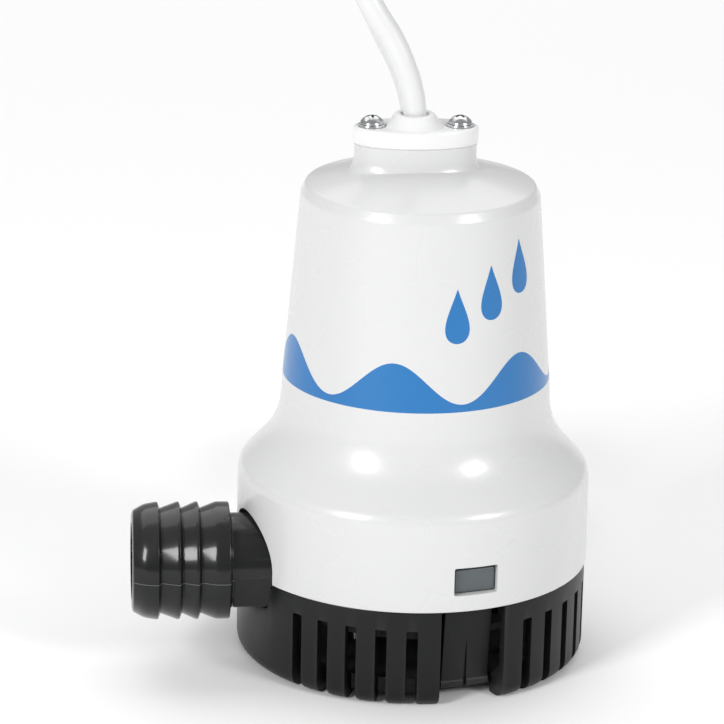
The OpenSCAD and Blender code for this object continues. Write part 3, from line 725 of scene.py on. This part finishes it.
def makeHousing():
    top = shell["topHeight"]
    housing = turnOnLathe("motorHousing", [
        (0, 128.4, 0), (14, 127.1, 60), (28.8, top + 0.2, 1.2), (shell["topBody"], top - 2.3, 2.4),
        (33.9, 72, 60), (34.5, 60.2, 20), (44.75, 49.2, 5), (shell["skirt"], 28, 60),
        (shell["skirt"], shell["joint"], 0.35), (42.8, shell["joint"], 0.3), (42.6, 47.2, 2),
        (35.3, 54.6, 0.5), (35.3, 44, 0.3), (33.1, 44, 0.3), (33.1, 58, 1), (32.2, 66, 6), (27.8, 118.5, 2),
        (20, 123.8, 8), (0, 126, 0)], sides=160, closed=False, steps=7)
    neck = addOval("neck", shell["neckFoot"], shell["neckA"], shell["neckB"])
    combine(housing, neck, "UNION")
    radius, y, z = shell["notchRadius"], shell["notchY"], shell["notchZ"]
    notch = addRod("notch", radius, (-70, y, z), (-15, y, z), 96)
    combine(notch, addBox("notchLeg", (-70, y - radius, 10), (-15, y + radius, z)), "UNION")
    combine(housing, notch)
    for turn in (0, 180):
        window = addBox("window", (-shell["window"] / 2, -50, shell["windowLow"]),
                        (shell["window"] / 2, -38, shell["windowHigh"]), 0.5)
        combine(housing, turnBy(window, shell["tabBearing"] + turn))
    x = shell["cableX"]
    combine(housing, addRod("gland", shell["gland"], (x, 0, 128), (x, 0, 140)))
    combine(housing, addRod("wayIn", shell["wayIn"], (x, 0, 118), (x, 0, 130)))
    for side in (-1, 1):
        x = shell["capX"] + shell["pilotOut"] * side
        combine(housing, addRod("pilot", shell["pilot"], (x, 0, 125.3), (x, 0, 140), 32))
    smooth(housing, 30)
    dress(housing, "whitePlastic", "pump", "white_plastic", "motor_housing")
    addPrint(finish("whitePlastic"))


makeHousing()
print("housing made")


# cable cap with its boss, screws and washers

cap = {
    "a": 15.6, "b": 8.3, "seam": 133.3, "top": 137.6, "bossX": -2, "bossTop": 140.8, "hole": 3.2,
    "screwGap": 22, "washer": 0.5, "headHeight": 2.2, "headRadius": 3,
    "pocket": 6.5, "screwHole": 1.8, "spotFace": 3.7,
}


def makeCap():
    seam, top = cap["seam"], cap["top"]
    piece = addOval("cableCap", [
        (-0.3, seam), (0, seam + 0.3), (0.1, seam + 2), (0.05, top - 0.5), (-0.03, top - 0.25),
        (-0.2, top - 0.08), (-0.5, top)], cap["a"], cap["b"])
    x, bossTop = cap["bossX"], cap["bossTop"]
    boss = turnOnLathe("boss", [
        (0, top - 1.5, 0), (7.1, top - 1.5, 0), (7.3, top - 0.05, 0), (6.2, top + 1.3, 3),
        (4.9, bossTop, 0.9), (3.6, bossTop, 0.35), (3.3, bossTop - 1, 0), (0, bossTop - 1, 0)],
        centre=(x, 0), sides=96, closed=False, steps=6)
    combine(piece, boss, "UNION")
    combine(piece, addRod("hole", cap["hole"], (x, 0, seam - 1), (x, 0, top + 6), 64))
    combine(piece, addRod("pocket", cap["pocket"], (x, 0, seam - 1), (x, 0, seam + 2.5), 64))
    for side in (-1, 1):
        x = shell["capX"] + side * cap["screwGap"] / 2
        combine(piece, addRod("clear", cap["screwHole"], (x, 0, seam - 1), (x, 0, top + 2), 32))
        combine(piece, addRod("spotFace", cap["spotFace"], (x, 0, top - 0.15), (x, 0, top + 2), 48))
    smooth(piece, 35)
    dress(piece, "whiteCap", "pump", "white_plastic", "cable_cap")


def makeCapScrews():
    screws, washers = [], []
    base = cap["top"] + cap["washer"]
    for side in (-1, 1):
        x = shell["capX"] + side * cap["screwGap"] / 2
        head = turnOnLathe("capScrew", [
            (0, base + cap["headHeight"], 0), (1.6, base + cap["headHeight"] - 0.25, 3),
            (2.75, base + 0.9, 1.6), (cap["headRadius"], base + 0.35, 0.3),
            (cap["headRadius"] - 0.1, base, 0.1), (1.5, base, 0),
            (1.5, base - 10.4, 0), (0, base - 11, 0)], centre=(x, 0), sides=64, closed=False)
        for turn in (20, 110):
            slot = addBox("driveSlot", (-1.45, -0.33, base + 0.95), (1.45, 0.33, base + 4), 0.05, 1)
            slot.rotation_euler = (0, 0, math.radians(turn + 15 * side))
            slot.location = (x * mm, 0, 0)
            combine(head, settle(slot))
        screws.append(smooth(head, 30))
        washers.append(smooth(turnOnLathe("capWasher", [
            (1.8, cap["top"] - 0.15, 0), (3.4, cap["top"] - 0.15, 0.12), (3.4, base, 0.15),
            (1.8, base, 0.05)],
            centre=(x, 0), sides=64, steps=2), 30))
    dress(joinAll(screws, "capScrews"), "stainless", "pump", "stainless", "cap_screws")
    dress(joinAll(washers, "capWashers"), "stainless", "pump", "stainless", "cap_washers")


makeCap()
makeCapScrews()
print("cap and screws made")


# pump casing with its hose barb

barb = {
    "y": -12.6, "z": 27.6, "neck": 12, "over": 14.85, "root": 13.3, "mouth": 12.5, "reach": 72.2,
    "ridges": [55.8, 60.5, 65.9], "ridgeStep": 0.9, "land": [47.7, 51], "bore": 9.8, "throat": 7.8,
    "boreEnd": 46, "padHalf": 11.6, "padFoot": 9.9, "padTop": 27.1, "padBottom": 18.2, "padReach": 46.9,
    "seamHeight": 26.6, "flash": 0.16, "flashHalf": 0.09, "lipStart": 69.2, "lipEnd": 71.9,
}
stage = {"casing": 36.5, "chamber": 25.5, "wall": 28, "low": 17, "high": 37, "top": 41,
         "screwCircle": 29.5, "screwBearings": [60, 150, 240, 330], "boss": 3.8, "screwHole": 1.6,
         "eye": 6.2, "coverSeat": 34}


def barbOutline(extra=0.0):
    # saw teeth: each ridge drops sharply towards the body and slopes down towards the mouth
    over, root, neck = barb["over"] + extra, barb["root"] + extra, barb["neck"] + extra
    landStart, landEnd = barb["land"]
    outline = [(0, 20, 0), (neck, 20, 0), (neck, landStart - 0.4, 0.3), (over - 0.05, landStart, 0.35),
               (over, landEnd, 3.5)]
    for ridge in barb["ridges"]:
        outline += [(root, ridge - barb["ridgeStep"], 0.15), (over, ridge - 0.25, 0.2),
                    (over, ridge + 0.35, 0.6)]
    outline += [(over - 0.5, barb["lipStart"], 6), (barb["mouth"] + 0.3 + extra, barb["lipEnd"], 0.7),
                (barb["mouth"] - 0.7, barb["reach"], 0.3)]
    return outline + [(barb["bore"] - 1, barb["reach"], 0), (0, barb["reach"] - 0.2, 0)]


def padOutline(gap):
    # section of the pad under the neck, grown by the gap
    y, half, foot = barb["y"], barb["padHalf"] + gap, barb["padFoot"] + gap
    top, bottom = barb["padTop"], barb["padBottom"] - gap
    return [(y - half, top, 0), (y - foot, bottom, 1.5), (y + foot, bottom, 1.5), (y + half, top, 0.4),
            (y, top, 0)]


def turnBarb(name, extra=0.0):
    return turnOnLathe(name, barbOutline(extra), sides=112, along=(-1, 0, 0),
                       place=(0, barb["y"], barb["z"]), closed=False, steps=4)


def makeCasing():
    low, high, top = stage["low"], stage["high"], stage["top"]
    casing = turnOnLathe("voluteCasing", [
        (stage["eye"], top, 0), (stage["casing"], top, 0.6), (stage["casing"], high, 0.6),
        (stage["wall"], high, 0.8),
        (stage["wall"], low + 3, 0.8), (stage["casing"], low + 3, 0.6), (stage["casing"], low, 0.4),
        (stage["chamber"], low, 0.2), (stage["chamber"], high, 0), (stage["eye"], high, 0)],
        sides=112, steps=3)
    for turn in stage["screwBearings"]:
        x, y = onCircle(stage["screwCircle"], turn)
        combine(casing, addRod("boss", stage["boss"], (x, y, low), (x, y, top), 40), "UNION")
    y, z = barb["y"], barb["z"]
    pad = pushOut("pad", padOutline(0), -barb["padReach"], -20)
    bevelEdges(pad, 0.3, 2)
    neckBarb = turnBarb("barbBody")
    combine(neckBarb, addBox("underNeck", (-barb["padReach"] + 0.1, y - 20, 0),
                             (0, y + 20, barb["padTop"])))
    combine(casing, pad, "UNION")
    combine(casing, neckBarb, "UNION")
    flash = turnBarb("flash", barb["flash"])
    height, thin = barb["seamHeight"], barb["flashHalf"]
    combine(flash, addBox("flashPlane", (-74, -40, height - thin), (-46.6, 20, height + thin)), "INTERSECT")
    combine(casing, flash, "UNION")
    combine(casing, addRod("chamber", stage["chamber"] - 0.02, (0, 0, low - 1), (0, 0, high - 0.02), 112))
    combine(casing, addRod("coverSeat", stage["coverSeat"], (0, 0, 10), (0, 0, low), 96))
    combine(casing, addRod("throat", barb["throat"], (0, y, z), (-60, y, z)))
    combine(casing, addRod("waterway", barb["bore"], (-barb["boreEnd"], y, z), (-80, y, z), 96))
    for turn in stage["screwBearings"]:
        x, y = onCircle(stage["screwCircle"], turn)
        combine(casing, addRod("screwHole", stage["screwHole"], (x, y, low - 2), (x, y, top + 1), 24))
    smooth(casing, 28)
    dress(casing, "barbPlastic", "pump", "black_plastic", "volute_casing")
    casing.data.materials.append(finish("mouldFlash"))
    # the third finish is painted shade, a darker copy of the black plastic for the faces inside the strainer
    # and the skirt
    casing.data.materials.append(finish("paintedShadePlastic"))
    for face in casing.data.polygons:
        if face.center.x < -0.0466 and abs(face.center.z - height * mm) < 0.0001:
            face.material_index = 1
        elif face.center.xy.length < 0.0375:  # inside the strainer and the skirt: painted shade, a darker copy of the black plastic
            face.material_index = 2


# strainer base

strainer = {
    "radius": 44.6, "wall": 2, "floorLow": 2.5, "floorHigh": 5, "footRound": 3.6,
    "slot": 2.9, "slotTop": 20.3, "slotFirst": 20.2, "perSide": 15, "blankHalf": 42.3,
    "slotFoot": 39.4, "footGap": 1.8, "opening": 22, "mountCircle": 56, "mountHole": 2.3, "mountBoss": 5,
    "floorEdge": 38.4, "padGap": 0.3, "wayNear": 36, "wayFar": 60,
}


def makeStrainer():
    radius, inner = strainer["radius"], strainer["radius"] - strainer["wall"]
    joint, floorTop = shell["joint"], strainer["floorHigh"]
    base = turnOnLathe("strainerBase", [
        (0, strainer["floorLow"], 0), (strainer["floorEdge"], strainer["floorLow"], 0.4),
        (strainer["floorEdge"], 0, 0.3),
        (radius, 0, strainer["footRound"]), (radius, joint, 0.35), (inner, joint, 0),
        (inner, joint + 2.4, 0.3), (inner - 1.6, joint + 2.4, 0.3), (inner - 1.6, joint - 3, 0.3),
        (inner, joint - 3.4, 0.3), (inner, floorTop + 3.5, 2), (inner - 4, floorTop, 1.5), (0, floorTop, 0)],
        sides=180, closed=False, steps=5)
    for turn in range(45, 360, 90):
        x, y = onCircle(strainer["mountCircle"] / 2, turn)
        boss = addRod("mountBoss", strainer["mountBoss"], (x, y, 0), (x, y, floorTop - 0.02), 48)
        bevelEdges(boss, 0.3, 2)
        combine(base, boss, "UNION")
    half = strainer["slot"] / 2
    slot = addBox("slot", (-half, -50, -1), (half, -strainer["slotFoot"], strainer["slotTop"]), 0.35, 2)
    combine(slot, addBox("footGap", (-half, -50, -1), (half, -36, strainer["footGap"])), "UNION")
    pitch = (180 - 2 * strainer["slotFirst"]) / (strainer["perSide"] - 1)
    cuts = []
    for side in (0, 180):
        for k in range(strainer["perSide"]):
            turn = (shell["tabBearing"] + side + strainer["slotFirst"] + pitch * k) % 360
            if abs(turn - 270) > strainer["blankHalf"]:
                cuts.append(turnBy(copyOf(slot, "slotCut"), turn))
    bpy.data.objects.remove(slot)
    combine(base, joinAll(cuts, "slotCuts"))
    spread = math.tan(math.radians(strainer["opening"] / 2))
    near, far = strainer["wayNear"], strainer["wayFar"]
    for side in (0, 180):
        way = addBox("tabWay", (-far * spread, -far, -1), (far * spread, -near, joint + 6))
        narrow(way, -0.04, near / far)
        combine(base, turnBy(way, shell["tabBearing"] + side))
    combine(base, pushOut("padWay", padOutline(strainer["padGap"]), -60, -20))
    wide, top = barb["padHalf"] + strainer["padGap"], barb["padTop"]
    combine(base, addBox("neckWay", (-60, barb["y"] - wide, top - 3), (-20, barb["y"] + wide, top + 6)))
    for turn in range(45, 360, 90):
        x, y = onCircle(strainer["mountCircle"] / 2, turn)
        combine(base, addRod("mountHole", strainer["mountHole"], (x, y, -1), (x, y, 9), 40))
    smooth(base, 30)
    dress(base, "blackPlastic", "pump", "black_plastic", "strainer_base")


# release tabs: a leaning panel with an arm up inside the skirt and a grey latch block

tab = {"width": 12.6, "pivot": 37.8, "pivotHeight": 4, "pivotRadius": 1.4, "top": 37,
       "latchFace": 43.5, "latchBack": 41.2, "grooveTop": 20, "grooveHalf": 0.7, "lean": 5.2}


def makeTab(name, turn, body, node):
    half, pivot, z = tab["width"] / 2, tab["pivot"], tab["pivotHeight"]
    panel = pushOut(name, [
        (-pivot - 1.3, z, 0.5), (-38.9, 5.4, 1), (-40.6, 24.2, 2), (-41.4, 26, 2),
        (-41.4, tab["top"] - 0.8, 0.3), (-40.8, tab["top"], 0.3), (-39.8, tab["top"], 0.3), (-39.8, 26, 2),
        (-38.6, 23, 2), (-36.8, z, 0.5)], -half, half)
    bevelEdges(panel, 0.3, 3)
    combine(panel, addRod("pivotRod", tab["pivotRadius"], (-half, -pivot, z), (half, -pivot, z), 40), "UNION")
    latch = addBox("latch", (-shell["window"] / 2 + 0.6, -tab["latchFace"], shell["windowLow"] + 0.3),
                   (shell["window"] / 2 - 0.3, -tab["latchBack"], shell["windowHigh"] - 1), 0.4, 3)
    combine(panel, latch, "UNION")
    groove = pushOut("groove", [(-tab["grooveHalf"], 3, 0), (tab["grooveHalf"], 3, 0),
                                (0, tab["grooveTop"], 0)], 38, 45)
    groove.rotation_euler = (0, 0, math.radians(-90))
    settle(groove)
    groove.rotation_euler = (math.radians(tab["lean"]), 0, 0)  # as the panel leans
    groove.location = (0, 0.3 * mm, 0)
    combine(panel, settle(groove))
    turnBy(panel, turn)
    smooth(panel, 30)
    dress(panel, "tabPlastic", body, "grey_latch", node)
    panel.data.materials.append(finish("latchFace"))
    outward = Vector((math.sin(math.radians(turn)), -math.cos(math.radians(turn)), 0))
    for face in panel.data.polygons:  # the block's own faces, in grey
        if face.center.dot(outward) > 0.0418 and face.center.z > (shell["windowLow"] - 0.5) * mm:
            face.material_index = 1


makeCasing()
makeStrainer()
makeTab("releaseTabFront", shell["tabBearing"], "front_tab", "release_tab_front")
makeTab("releaseTabRear", shell["tabBearing"] + 180, "rear_tab", "release_tab_rear")
print("casing, strainer and tabs made")

cadFinishes = {
    "cable_grommet": "blackRubber", "volute_cover": "blackPlastic",
    "volute_screws": "stainless", "motor_base_plate": "innerPlastic", "bulkhead_oring": "blackRubber",
    "shaft_seal": "sealRubber", "lower_bearing": "sinteredBronze", "upper_bearing": "sinteredBronze",
    "impeller": "innerPlastic", "impeller_nut": "brass", "motor_shaft": "groundSteel",
    "armature_core": "laminations", "armature_windings": "enamelWire", "commutator": "copper",
    "motor_can": "zincPlate", "field_magnets": "ferrite", "motor_end_bell": "innerPlastic",
    "motor_screws": "stainless", "brush_card": "phenolic", "brush_holders": "brass",
    "carbon_brushes": "carbon", "brush_springs": "groundSteel", "motor_terminals": "brass",
    "noise_capacitor": "ceramicDip", "lead_positive": "brownCore", "lead_negative": "blackCore",
}


def dressCadNodes():
    for name, finishName in cadFinishes.items():
        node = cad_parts[name]
        node.data.materials.clear()
        node.data.materials.append(finish(finishName))


dressCadNodes()
print("inner parts finished")
